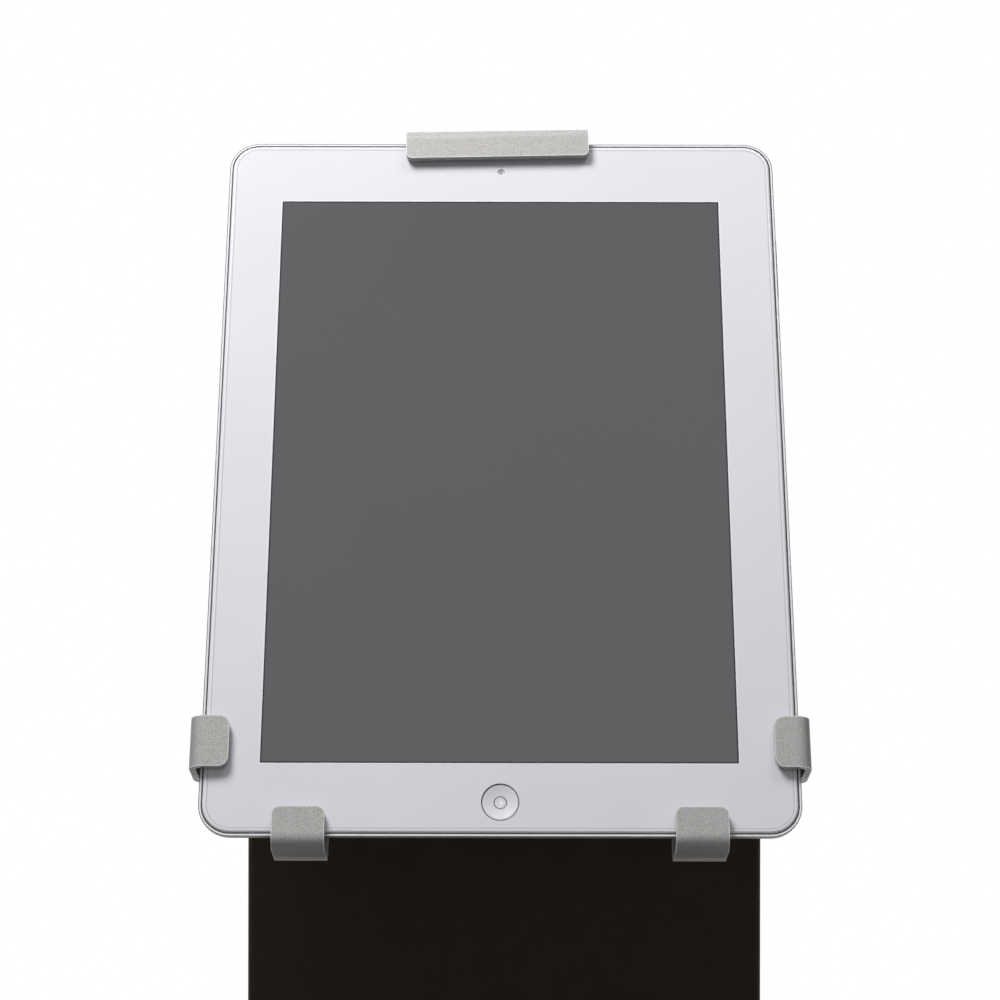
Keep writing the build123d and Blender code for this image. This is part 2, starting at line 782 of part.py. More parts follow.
with BuildPart() as mast_stop_collar:
    with BuildSketch(Plane.XY.offset(collar_bottom)):
        mast_section(collar_wall)
        mast_section(axial_gap, Mode.SUBTRACT)
    extrude(amount=collar_height)

with BuildPart() as mast_head:
    with BuildSketch(Plane.XY.offset(mast_top)):
        mast_section(-mast_wall - weld_gap)
    extrude(amount=-plug_depth)
    with BuildSketch(Plane.XY.offset(mast_top)):
        mast_section(saddle_overhang)
    extrude(amount=saddle_thickness)
    with BuildSketch(Plane.XY.offset(saddle_top)):
        with Locations((0, column_centre_y)):
            Circle(cable_hole_radius)
    extrude(amount=-saddle_thickness - plug_depth, mode=Mode.SUBTRACT)
    for side in (-1, 1):
        with BuildSketch(sideways(head_side + side * ear_inner_x)):
            with Locations((tilt_axis_y, (saddle_top + tilt_axis_z) / 2)):
                Rectangle(2 * mast_ear_radius, tilt_axis_z - saddle_top)
            tilt_circle(mast_ear_radius)
            tilt_circle(tilt_pin_radius + running_gap, Mode.SUBTRACT)
        extrude(amount=side * ear_thickness)
    with BuildSketch(upright(mast_rear_y)):
        head_screw_circles(head_screw_radius + running_gap)
    extrude(amount=mast_depth, mode=Mode.SUBTRACT)

with BuildPart() as mast_head_screws:
    for face_y, inward in ((mast_front_y, -1), (mast_rear_y, 1)):
        with BuildSketch(upright(face_y)):
            head_screw_circles(head_screw_head_radius)
        extrude(amount=-inward * head_screw_head_height)
    fillet(mast_head_screws.edges().group_by(Axis.Y)[0], head_screw_head_height / 2)
    fillet(mast_head_screws.edges().group_by(Axis.Y)[-1], head_screw_head_height / 2)
    for face_y, inward in ((mast_front_y, -1), (mast_rear_y, 1)):
        with BuildSketch(upright(face_y)):
            head_screw_circles(head_screw_radius)
        extrude(amount=inward * head_screw_length)

# Tilt joint: pin, friction washers and clamping knob; bracket and spacer turn on the pin
with BuildPart() as tilt_pin:
    with BuildSketch(sideways(head_side - ear_outer_x)):
        with Locations((tilt_axis_y, tilt_axis_z)):
            hexagon(tilt_pin_head_flats)
    extrude(amount=-tilt_pin_head_height)
    with BuildSketch(sideways(head_side - ear_outer_x)):
        tilt_circle(tilt_pin_radius)
    extrude(amount=ear_outer_x + tilt_knob_inner_x + tilt_knob_length / 2)

with BuildPart() as tilt_washers:
    for side in (-1, 1):
        with BuildSketch(sideways(head_side + side * ear_inner_x)):
            tilt_circle(tilt_washer_radius)
            tilt_circle(tilt_pin_radius + running_gap, Mode.SUBTRACT)
        extrude(amount=-side * tilt_washer_thickness)

with BuildPart() as tilt_knob:
    with BuildSketch(sideways(head_side + tilt_knob_inner_x)):
        with Locations((tilt_axis_y, tilt_axis_z)):
            fluted_circle(tilt_knob_radius, tilt_knob_flutes)
    extrude(amount=tilt_knob_length)
    fillet(tilt_knob.edges().group_by(Axis.X)[0], knob_edge_radius)
    fillet(tilt_knob.edges().group_by(Axis.X)[-1], knob_edge_radius)
    with BuildSketch(sideways(head_side + tilt_knob_inner_x)):
        tilt_circle(tilt_pin_radius + running_gap)
    extrude(amount=tilt_knob_length / 2 + axial_gap, mode=Mode.SUBTRACT)

with BuildPart() as tilt_bracket:
    with BuildSketch(facing(web_front)):
        Rectangle(2 * bracket_half_width, web_height)
        fillet(vertices(), web_corner_radius)
        swivel_holes()
    extrude(amount=-web_thickness)
    for side in (-1, 1):
        with BuildSketch(beside(side * bracket_half_width)):
            with Locations((0, -(web_back + axis_depth) / 2)):
                Rectangle(2 * bracket_ear_radius, axis_depth - web_back)
            with Locations((0, -axis_depth)):
                Circle(bracket_ear_radius)
                Circle(tilt_pin_radius + running_gap, mode=Mode.SUBTRACT)
        extrude(amount=-side * ear_thickness)

with BuildPart() as tilt_spacer:
    with BuildSketch(beside(0)):
        with Locations((0, -axis_depth)):
            Circle(spacer_radius)
            Circle(tilt_pin_radius + running_gap, mode=Mode.SUBTRACT)
    extrude(amount=bracket_half_width - ear_thickness, both=True)

# Swivel joint: friction disc, bolt, washer, nut and stop pin, all carried by the bracket
with BuildPart() as swivel_disc:
    with BuildSketch(facing(disc_front)):
        Circle(swivel_disc_radius)
        swivel_holes()
    extrude(amount=-swivel_disc_thickness)

with BuildPart() as swivel_bolt:
    with BuildSketch(facing(bolt_head_back)):
        Circle(swivel_bolt_head_radius)
    extrude(amount=swivel_bolt_head_height)
    with BuildSketch(facing(bolt_head_back)):
        Circle(swivel_bolt_radius)
    extrude(amount=bolt_head_back - nut_front - swivel_nut_height - swivel_bolt_tail)
    with BuildSketch(facing(bolt_head_back - swivel_bolt_head_height)):
        hexagon(hex_key_flats)
    extrude(amount=-hex_key_depth, mode=Mode.SUBTRACT)

with BuildPart() as swivel_washer:
    with BuildSketch(facing(web_back)):
        Circle(swivel_washer_radius)
        Circle(swivel_bolt_radius + running_gap, mode=Mode.SUBTRACT)
    extrude(amount=-swivel_washer_thickness)

with BuildPart() as swivel_nut:
    with BuildSketch(facing(nut_front)):
        hexagon(swivel_nut_flats)
        Circle(swivel_bolt_radius + running_gap, mode=Mode.SUBTRACT)
    extrude(amount=-swivel_nut_height)

with BuildPart() as swivel_stop_pin:
    with BuildSketch(facing(web_back)):
        with Locations((0, -stop_pin_place)):
            Circle(stop_pin_radius)
    extrude(amount=web_back - plate_front + stop_pin_proud)

# Holder: one bent sheet, with a slot that stops the swivel and two hooks at the sides and below
stop_arc = CenterArc((0, 0), stop_pin_place, 180, 180)
with BuildPart() as holder_plate:
    with BuildSketch(facing(plate_front)):
        with Locations((0, (spine_top + lower_plate_bottom) / 2)):
            Rectangle(spine_width, spine_top - lower_plate_bottom)
        with Locations((0, (lower_plate_top + lower_plate_bottom) / 2)):
            Rectangle(lower_plate_width, lower_plate_top - lower_plate_bottom)
        fillet(vertices(), plate_corner_radius)
        Circle(swivel_bolt_radius + running_gap, mode=Mode.SUBTRACT)
        SlotArc(stop_arc, 2 * (stop_pin_radius + stop_slot_gap), mode=Mode.SUBTRACT)
        with Locations((lock_side, lock_place)):
            Circle(lock_screw_radius + running_gap, mode=Mode.SUBTRACT)
        with Locations(*rivet_points):
            Circle(rivet_radius + running_gap, mode=Mode.SUBTRACT)
    extrude(amount=-sheet)
    for side, lip in ((-1, left_hook_lip), (1, right_hook_lip)):
        with BuildSketch(crossing(-side_hook_drop)):
            bent_strip(spine_width / 2, side_hook_reach, lip, side, plate_front)
        extrude(amount=hook_width)
        with BuildSketch(beside(side * bottom_hook_place)):
            strip_start = -lower_plate_bottom - plate_corner_radius
            bent_strip(strip_start, bottom_hook_reach, bottom_hook_lip, -1, plate_front)
        extrude(amount=hook_width / 2, both=True)
    upright_edges = holder_plate.edges().filter_by(square_to_glass)
    fillet(upright_edges.filter_by(is_on_side_hook), side_corner_radius)
    upright_edges = holder_plate.edges().filter_by(square_to_glass)
    fillet(upright_edges.filter_by(is_on_bottom_hook), bottom_corner_radius)

with BuildPart() as rest_pads:
    with BuildSketch(facing(plate_front)):
        with Locations((-upper_pad_across, upper_pad_rise), (upper_pad_across, upper_pad_rise)):
            Circle(rest_pad_radius)
        with Locations((-lower_pad_across, -lower_pad_drop), (lower_pad_across, -lower_pad_drop)):
            Circle(rest_pad_radius)
    extrude(amount=rest_pad_height)

with BuildPart() as side_hook_liners:
    with BuildSketch(facing(liner_back)):
        with Locations((0, -side_hook_drop - hook_width / 2)):
            with GridLocations(2 * (side_hook_reach - sheet) - liner_thickness, hook_width, 2, 1):
                Rectangle(liner_thickness, hook_width - 2 * liner_end_gap)
    extrude(amount=liner_back - liner_front)

with BuildPart() as bottom_hook_pads:
    with BuildSketch(facing(bottom_pad_back)):
        pad_height = bottom_hook_reach - sheet - tablet_height / 2
        with Locations((0, -(tablet_height + pad_height) / 2)):
            with GridLocations(2 * bottom_hook_place, hook_width, 2, 1):
                Rectangle(hook_width - 2 * liner_end_gap, pad_height)
    extrude(amount=bottom_pad_back - bottom_pad_front)

# Guides on the back of the holder, which the clip's tongue slides in, and their rivets
with BuildPart() as clip_guides:
    for side in (-1, 1):
        with BuildSketch(crossing(guide_top)):
            with Locations((side * guide_centre, -(plate_back + guide_cap_front) / 2)):
                Rectangle(guide_foot, guide_cap_front - plate_back)
            cap_centre = guide_centre - guide_overlap / 2
            with Locations((side * cap_centre, -(guide_cap_front + guide_back) / 2)):
                Rectangle(guide_foot + guide_overlap, guide_cap_thickness)
        extrude(amount=guide_top - guide_bottom)
    with BuildSketch(facing(plate_back)):
        with Locations(*rivet_points):
            Circle(rivet_radius + running_gap)
    extrude(amount=plate_back - guide_back, mode=Mode.SUBTRACT)

with BuildPart() as guide_rivets:
    with BuildSketch(facing(guide_back)):
        with Locations(*rivet_points):
            Circle(rivet_head_radius)
    extrude(amount=-rivet_head_height)
    with BuildSketch(facing(plate_front)):
        with Locations(*rivet_points):
            Circle(rivet_head_radius)
    extrude(amount=rivet_head_height)
    with BuildSketch(facing(guide_back)):
        with Locations(*rivet_points):
            Circle(rivet_radius)
    extrude(amount=guide_back - plate_front)

# Top clip: wide lip and shoulder, and a narrower tongue with the lock screw's slot
with BuildPart() as top_clip:
    for strip_start, strip_width in (
        (tongue_bottom - lock_place, tongue_width),
        (clip_outer - clip_shoulder, clip_width),
    ):
        with BuildSketch(clip_beside()):
            bent_strip(strip_start, clip_outer, clip_lip, 1, tongue_front)
        extrude(amount=strip_width / 2, both=True)
    upright_edges = top_clip.edges().filter_by(square_to_glass)
    fillet(upright_edges.filter_by(is_on_lip), clip_corner_radius)
    upright_edges = top_clip.edges().filter_by(square_to_glass)
    fillet(upright_edges.filter_by(is_at_tongue_end), tongue_corner_radius)
    with BuildSketch(clip_facing(tongue_front)):
        slot_width = 2 * (lock_screw_radius + lock_slot_gap)
        with Locations((0, -clip_travel / 2)):
            SlotOverall(clip_travel + slot_width, slot_width, rotation=90)
    extrude(amount=-sheet, mode=Mode.SUBTRACT)

with BuildPart() as top_clip_pad:
    with BuildSketch(clip_facing(clip_pad_back)):
        with Locations((0, clip_outer - sheet - clip_pad_thickness / 2)):
            Rectangle(clip_pad_width, clip_pad_thickness)
    extrude(amount=clip_pad_back - clip_pad_front)

# Clip lock: press nut in the holder, washer, knob and its screw
with BuildPart() as clip_press_nut:
    with BuildSketch(facing(plate_front)):
        with Locations((lock_side, lock_place)):
            Circle(press_nut_radius)
            Circle(lock_screw_radius + running_gap, mode=Mode.SUBTRACT)
    extrude(amount=press_nut_height)

with BuildPart() as clip_washer:
    with BuildSketch(clip_facing(lock_washer_front)):
        Circle(lock_washer_radius)
        Circle(lock_screw_radius + running_gap, mode=Mode.SUBTRACT)
    extrude(amount=-lock_washer_thickness)

with BuildPart() as clip_knob:
    with BuildSketch(clip_facing(lock_knob_front)):
        fluted_circle(lock_knob_radius, lock_knob_flutes)
    extrude(amount=-lock_knob_length)
    fillet(clip_knob.faces().filter_by(square_to_glass).edges(), knob_edge_radius)
    with BuildSketch(clip_facing(lock_knob_front)):
        Circle(lock_screw_radius + running_gap)
    extrude(amount=-lock_knob_length / 2, mode=Mode.SUBTRACT)

with BuildPart() as clip_lock_screw:
    with BuildSketch(clip_facing(plate_front - press_nut_height)):
        Circle(lock_screw_radius)
    extrude(amount=plate_front - press_nut_height - lock_knob_front - lock_knob_length / 2)


def rear_shell_body():
    """The tablet's rear shell before its plastic window is cut out of the top rim."""
    with BuildSketch(facing(tablet_thickness)) as outside:
        tablet_outline(0)
    extrude(outside.sketch, amount=tablet_thickness - rim_drop)
    fillet(faces().sort_by(square_to_glass)[0].edges(), tablet_back_radius)
    fillet(faces().sort_by(square_to_glass)[-1].edges(), rim_edge_radius)
    with BuildSketch(facing(glass_thickness)) as glass_seat:
        tablet_outline(rim_width)
    extrude(glass_seat.sketch, amount=glass_thickness, mode=Mode.SUBTRACT)
    with BuildPart(mode=Mode.PRIVATE) as pocket:
        with BuildSketch(facing(pocket_floor)) as pocket_outline:
            tablet_outline(tablet_side_wall)
        extrude(pocket_outline.sketch, amount=pocket_floor)
        fillet(pocket.faces().sort_by(square_to_glass)[0].edges(), tablet_pocket_radius)
    add(pocket.part, mode=Mode.SUBTRACT)


def window_block(mode):
    """The stretch of the top rim that the plastic window takes up."""
    with BuildSketch(facing(tablet_thickness)) as window:
        with Locations((0, (tablet_height - window_height) / 2)):
            Rectangle(window_width, window_height)
    extrude(window.sketch, amount=tablet_thickness, mode=mode)


def key_outline(length, grow=0):
    """Outline of a power or volume key in the rim, grown by a gap."""
    with Locations((0, -key_depth)):
        SlotOverall(length + 2 * grow, key_thickness + 2 * grow)


key_recess = key_stem + key_travel + key_gap
top_edge = Plane(
    origin=tablet_centre + up_slope * tablet_height / 2 + across * power_key_across,
    x_dir=across,
    z_dir=up_slope * -1,
)
right_edge = Plane(
    origin=tablet_centre + across * tablet_width / 2 + up_slope * volume_key_rise,
    x_dir=up_slope * -1,
    z_dir=across * -1,
)

# Tablet: rear shell, the plastic window in its top rim, gasket and front glass
with BuildPart() as tablet_rear_shell:
    rear_shell_body()
    window_block(Mode.SUBTRACT)
    for edge_plane, key_length in ((top_edge, power_key_length), (right_edge, volume_key_length)):
        with BuildSketch(edge_plane):
            key_outline(key_length, key_gap)
        extrude(amount=key_recess, mode=Mode.SUBTRACT)
    with BuildSketch(crossing(-tablet_height / 2)):
        with Locations((0, -port_depth)):
            Rectangle(port_width, port_height)
    extrude(amount=-tablet_side_wall - cut_overrun, mode=Mode.SUBTRACT)
    with BuildSketch(facing(tablet_thickness)):
        with Locations((rear_camera_across, rear_camera_rise)):
            Circle(rear_camera_radius + running_gap)
    extrude(amount=tablet_back_wall, mode=Mode.SUBTRACT)

with BuildPart() as tablet_antenna_window:
    rear_shell_body()
    window_block(Mode.INTERSECT)

with BuildPart() as tablet_gasket:
    with BuildSketch(facing(glass_thickness)):
        tablet_outline(rim_width)
        RectangleRounded(
            tablet_width - 2 * (rim_width + gasket_width),
            tablet_height - 2 * (rim_width + gasket_width),
            tablet_corner_radius - rim_width - gasket_width,
            mode=Mode.SUBTRACT,
        )
    extrude(amount=glass_thickness - gasket_drop)

with BuildPart() as tablet_glass:
    with BuildSketch(facing(glass_thickness)):
        tablet_outline(rim_width + gasket_width)
    extrude(amount=glass_thickness)
    fillet(tablet_glass.faces().sort_by(square_to_glass)[-1].edges(), glass_edge_radius)
    with BuildSketch(facing(glass_thickness)):
        with Locations((0, -button_drop)):
            Circle(button_radius + button_hole_gap)
        with Locations((0, camera_rise)):
            Circle(camera_hole_radius)
    extrude(amount=glass_thickness, mode=Mode.SUBTRACT)

# Inside the tablet: display, battery, board, cameras, charging port and the switch of the home button
with BuildPart() as tablet_display:
    with BuildSketch(facing(display_back)):
        with Locations((0, screen_rise)):
            Rectangle(screen_width + 2 * display_margin, screen_height + 2 * display_margin)
    extrude(amount=display_thickness)

with BuildPart() as tablet_battery:
    with BuildSketch(facing(pocket_floor)):
        with Locations((0, -battery_drop)):
            with GridLocations(battery_cell_width + battery_cell_gap, battery_cell_height, battery_cells, 1):
                Rectangle(battery_cell_width, battery_cell_height)
    extrude(amount=pocket_floor - display_back - battery_gap)

with BuildPart() as tablet_logic_board:
    with BuildSketch(facing(pocket_floor)):
        with Locations((0, board_rise)):
            RectangleRounded(board_width, board_height, board_corner_radius)
    extrude(amount=board_thickness)
    with BuildSketch(facing(pocket_floor - board_thickness)):
        with Locations((0, board_rise)):
            with GridLocations(chip_spacing, chip_spacing, chip_count, 1):
                Rectangle(chip_size, chip_size)
    extrude(amount=chip_height)

with BuildPart() as tablet_camera:
    with BuildSketch(facing(glass_thickness)):
        with Locations((0, camera_rise)):
            Circle(camera_hole_radius - running_gap)
    extrude(amount=glass_thickness - camera_lens_depth)
    with BuildSketch(facing(glass_thickness)):
        with Locations((0, camera_rise)):
            Rectangle(camera_body, camera_body)
    extrude(amount=-camera_body_thickness)

with BuildPart() as tablet_rear_camera:
    with BuildSketch(facing(tablet_thickness + rear_camera_proud)):
        with Locations((rear_camera_across, rear_camera_rise)):
            Circle(rear_camera_radius)
    extrude(amount=rear_camera_length)

with BuildPart() as tablet_port_socket:
    with BuildSketch(crossing(port_recess - tablet_height / 2)):
        with Locations((0, -port_depth)):
            Rectangle(port_width - 2 * running_gap, port_height - 2 * running_gap)
    extrude(amount=-port_reach)
    with BuildSketch(crossing(port_recess - tablet_height / 2)):
        with Locations((0, -port_depth)):
            Rectangle(port_width - 2 * port_wall, port_height - 2 * port_wall)
    extrude(amount=port_wall - port_reach, mode=Mode.SUBTRACT)

with BuildPart() as tablet_home_switch:
    with BuildSketch(facing(pocket_floor)):
        with Locations((0, -button_drop)):
            Rectangle(switch_width, switch_height)
    extrude(amount=pocket_floor - switch_front)

# Keys that are pressed: dished home button, power key and volume key
dish_radius = button_radius - button_rim_width
dish_sphere = (dish_radius**2 + button_dish_depth**2) / (2 * button_dish_depth)
dish_middle = dish_sphere - sqrt(dish_sphere**2 - dish_radius**2 / 4)
with BuildPart() as tablet_home_button:
    with BuildSketch(beside(0)):
        dish_floor = -button_face_depth - button_dish_depth
        with BuildLine():
            Polyline(
                (-button_drop, dish_floor),
                (-button_drop, -button_back),
                (-button_drop + button_flange_radius, -button_back),
                (-button_drop + button_flange_radius, button_flange_thickness - button_back),
                (-button_drop + button_radius, button_flange_thickness - button_back),
                (-button_drop + button_radius, -button_face_depth),
                (-button_drop + dish_radius, -button_face_depth),
            )
            ThreePointArc(
                (-button_drop + dish_radius, -button_face_depth),
                (-button_drop + dish_radius / 2, dish_floor + dish_middle),
                (-button_drop, dish_floor),
            )
        make_face()
    revolve(axis=Axis(tablet_centre - up_slope * button_drop, outward))

with BuildPart() as tablet_power_button:
    with BuildSketch(top_edge):
        key_outline(power_key_length)
    extrude(amount=key_stem)
    with BuildSketch(top_edge):
        key_outline(power_key_length)
    extrude(amount=-key_proud)

with BuildPart() as tablet_volume_button:
    with BuildSketch(right_edge):
        key_outline(volume_key_length)
    extrude(amount=key_stem)
    with BuildSketch(right_edge):
        key_outline(volume_key_length)
    extrude(amount=-key_proud)

# Every piece is labelled and written under its own name
pieces = {
    "base_plate": base_plate,
    "foot_pads": foot_pads,
    "foot_screws": foot_screws,
    "column_foot": column_foot,
    "column_bolts": column_bolts,
    "column_shell": column_shell,
    "rear_cover": rear_cover,
    "cover_screws": cover_screws,
    "cable_grommet": cable_grommet,
    "top_guide": top_guide,
    "top_guide_screws": top_guide_screws,
    "lower_guide_plate": lower_guide_plate,
    "lower_guide_liner": lower_guide_liner,
    "lock_crossbar": lock_crossbar,
    "brake_pad": brake_pad,
    "height_knob": height_knob,
    "height_lock_screw": height_lock_screw,
    "mast_tube": mast_tube,
    "mast_stop_collar": mast_stop_collar,
    "mast_head": mast_head,
    "mast_head_screws": mast_head_screws,
    "tilt_pin": tilt_pin,
    "tilt_washers": tilt_washers,
    "tilt_knob": tilt_knob,
    "tilt_bracket": tilt_bracket,
    "tilt_spacer": tilt_spacer,
    "swivel_disc": swivel_disc,
    "swivel_bolt": swivel_bolt,
    "swivel_washer": swivel_washer,
    "swivel_nut": swivel_nut,
    "swivel_stop_pin": swivel_stop_pin,
    "holder_plate": holder_plate,
    "rest_pads": rest_pads,
    "side_hook_liners": side_hook_liners,
    "bottom_hook_pads": bottom_hook_pads,
    "clip_guides": clip_guides,
    "guide_rivets": guide_rivets,
    "top_clip": top_clip,
    "top_clip_pad": top_clip_pad,
    "clip_press_nut": clip_press_nut,
    "clip_washer": clip_washer,
    "clip_knob": clip_knob,
    "clip_lock_screw": clip_lock_screw,
    "tablet_rear_shell": tablet_rear_shell,
    "tablet_antenna_window": tablet_antenna_window,
    "tablet_gasket": tablet_gasket,
    "tablet_glass": tablet_glass,
    "tablet_display": tablet_display,
    "tablet_battery": tablet_battery,
    "tablet_logic_board": tablet_logic_board,
    "tablet_camera": tablet_camera,
    "tablet_rear_camera": tablet_rear_camera,
    "tablet_port_socket": tablet_port_socket,
    "tablet_home_switch": tablet_home_switch,
    "tablet_home_button": tablet_home_button,
    "tablet_power_button": tablet_power_button,
    "tablet_volume_button": tablet_volume_button,
}
for name, piece in pieces.items():
    piece.part.label = name
    export_step(piece.part, f"parts/{name}.step")
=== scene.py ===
import json
from math import cos, pi, radians, sin

import bmesh
import bpy
from mathutils import Matrix, Vector


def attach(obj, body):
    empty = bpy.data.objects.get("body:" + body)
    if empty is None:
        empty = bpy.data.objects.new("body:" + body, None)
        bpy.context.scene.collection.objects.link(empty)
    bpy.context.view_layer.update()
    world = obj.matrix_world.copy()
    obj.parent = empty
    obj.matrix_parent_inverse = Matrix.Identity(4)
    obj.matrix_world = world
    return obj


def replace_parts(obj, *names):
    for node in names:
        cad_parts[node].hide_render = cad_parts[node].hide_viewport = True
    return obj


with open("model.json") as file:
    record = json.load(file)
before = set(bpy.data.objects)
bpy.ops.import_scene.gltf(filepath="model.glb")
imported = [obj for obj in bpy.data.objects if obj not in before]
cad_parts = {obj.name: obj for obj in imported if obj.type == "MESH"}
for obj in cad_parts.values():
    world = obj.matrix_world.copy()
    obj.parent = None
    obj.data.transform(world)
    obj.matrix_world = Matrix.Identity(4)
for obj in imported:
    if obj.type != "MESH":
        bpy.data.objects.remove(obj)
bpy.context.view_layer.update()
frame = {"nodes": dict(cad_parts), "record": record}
nodes = frame["nodes"]
scene = bpy.context.scene

MM = 0.001


def mm(x, y, z):
    """A place or a step in metres, from millimetres."""
    return Vector((x, y, z)) * MM


# The stand's directions, then the tablet's own and its middle, at the glass's front
RIGHT = Vector((1, 0, 0))
BACK = Vector((0, 1, 0))
VERTICAL = Vector((0, 0, 1))
TILT = radians(22.3)
ACROSS = RIGHT
UP = Vector((0, sin(TILT), cos(TILT)))
OUT = Vector((0, -cos(TILT), sin(TILT)))
TABLET_SIDE = -1.4
TILT_AXIS_Y = 8.5
TILT_AXIS_Z = 1039.0
AXIS_TO_GLASS = 42.0
CENTRE = mm(TABLET_SIDE, TILT_AXIS_Y, TILT_AXIS_Z) + OUT * AXIS_TO_GLASS * MM
BUTTON_RISE = -110.65


def on_tablet(across, rise, front):
    """A place on the tablet, in millimetres from its middle."""
    return CENTRE + (ACROSS * across + UP * rise + OUT * front) * MM


def srgb(red, green, blue):
    """A colour as seen on a display, from 0 to 255, as the shader's linear value."""
    out = []
    for value in (red, green, blue):
        value = value / 255
        out.append(value / 12.92 if value <= 0.04045 else ((value + 0.055) / 1.055) ** 2.4)
    return (*out, 1.0)


# Camera, fitted to the photograph's frame. Its place is in millimetres, its range in metres
CAMERA_DISTANCE = 778.77
CAMERA_DROP = 9.82
CAMERA_SIDE = 0.24
CAMERA_ROLL = radians(-0.1)
FOCAL_PIXELS = 2405.0
FRAME_PIXELS = 1000
SENSOR_MM = 36.0
NEAREST = 0.02
FARTHEST = 60

camera_data = bpy.data.cameras.new("camera")
camera_data.sensor_width = SENSOR_MM
camera_data.lens = FOCAL_PIXELS * SENSOR_MM / FRAME_PIXELS
camera_data.clip_start = NEAREST
camera_data.clip_end = FARTHEST
camera = bpy.data.objects.new("camera", camera_data)
scene.collection.objects.link(camera)
camera.location = CENTRE + mm(-CAMERA_SIDE, -CAMERA_DISTANCE, -CAMERA_DROP)
camera.rotation_euler = (pi / 2, CAMERA_ROLL, 0)
scene.camera = camera
scene.view_settings.view_transform = "Standard"


# Materials
def feed(node, inputs):
    """Feeds a node's inputs with values, or with the outputs of other nodes."""
    for key, value in inputs.items():
        if isinstance(value, bpy.types.NodeSocket):
            node.id_data.links.new(value, node.inputs[key])
        else:
            node.inputs[key].default_value = value


def add_node(tree, kind, inputs, output, operation=None):
    """Adds a shader node, feeds its inputs, and gives one of its outputs."""
    node = tree.nodes.new("ShaderNode" + kind)
    if operation:
        node.operation = operation
    feed(node, inputs)
    return node.outputs[output]


class Shade:
    """A material with a Principled shader, and short names for the nodes that feed it.

    Sizes, widths and depths are in millimetres.
    """

    def __init__(self, name, color, roughness, metallic=0.0, specular=0.5):
        self.material = bpy.data.materials.new(name)
        self.material.use_nodes = True
        self.tree = self.material.node_tree
        self.shader = self.tree.nodes["Principled BSDF"]
        self.shader.inputs["Base Color"].default_value = color
        self.shader.inputs["Roughness"].default_value = roughness
        self.shader.inputs["Metallic"].default_value = metallic
        self.shader.inputs["Specular IOR Level"].default_value = specular
        self.coords = self.node("TexCoord", {}, "Object")

    def node(self, kind, inputs, output):
        return add_node(self.tree, kind, inputs, output)

    def stretched(self, scale):
        return self.node("Mapping", {"Scale": scale, "Vector": self.coords}, "Vector")

    def noise(self, size, detail=2.0, vector=None):
        inputs = {"Scale": 1 / (size * MM), "Detail": detail, "Vector": vector or self.coords}
        return self.node("TexNoise", inputs, "Fac")

    def cells(self, size):
        inputs = {"Scale": 1 / (size * MM), "Vector": self.coords}
        return self.node("TexVoronoi", inputs, "Distance")

    def ramp(self, value, low, high, start=0.3, end=0.7):
        """Runs from low to high while a value runs from start to end."""
        inputs = {
            "Value": value, "From Min": start, "From Max": end, "To Min": low, "To Max": high
        }
        return self.node("MapRange", inputs, "Result")

    def mix(self, share, first, second):
        node = self.tree.nodes.new("ShaderNodeMix")
        node.data_type = "RGBA"
        feed(node, {"Factor": share, "A": first, "B": second})
        return node.outputs["Result"]

    def dot(self, first, second):
        return add_node(self.tree, "VectorMath", {0: first, 1: second}, "Value", "DOT_PRODUCT")

    def along(self, direction, place, half):
        """Rises from 0 to 1 along a direction, over a stretch with its middle at a place."""
        level = place.dot(direction)
        reach = half * MM
        here = self.dot(self.coords, direction)
        return self.ramp(here, 0, 1, start=level - reach, end=level + reach)

    def edges(self, width):
        """1 within a width of the surface's sharp edges, else 0."""
        rounded = self.tree.nodes.new("ShaderNodeBevel")
        rounded.samples = 6
        rounded.inputs["Radius"].default_value = width * MM
        flat = self.node("NewGeometry", {}, "Normal")
        return self.ramp(self.dot(rounded.outputs["Normal"], flat), 1, 0, start=0.82, end=0.96)

    def bump(self, height, depth):
        inputs = {"Height": height, "Distance": depth * MM}
        self.tree.links.new(self.node("Bump", inputs, "Normal"), self.shader.inputs["Normal"])

    def color(self, value):
        self.tree.links.new(value, self.shader.inputs["Base Color"])

    def roughness(self, value):
        self.tree.links.new(value, self.shader.inputs["Roughness"])


def powder_coat(name, dark, light, roughness, specular, grain, depth):
    """Textured powder coat: a fine grain, under wider clouds in its colour and gloss."""
    shade = Shade(name, light, roughness, specular=specular)
    cloud = shade.noise(grain * 9, 4)
    shade.color(shade.mix(shade.ramp(cloud, 0, 1), dark, light))
    wide_cloud = shade.noise(grain * 30, 3)
    shade.roughness(shade.ramp(wide_cloud, roughness - 0.05, roughness + 0.05))
    shade.bump(shade.noise(grain, 3), depth)
    return shade.material


# Where finishes and painted shade change, in millimetres over the glass's front
LIP_LEVEL = 2.4
PLATE_LEVEL = -9.0
SHELL_EDGE_LEVEL = -0.65
SHELL_SIDE_LEVEL = -6.0


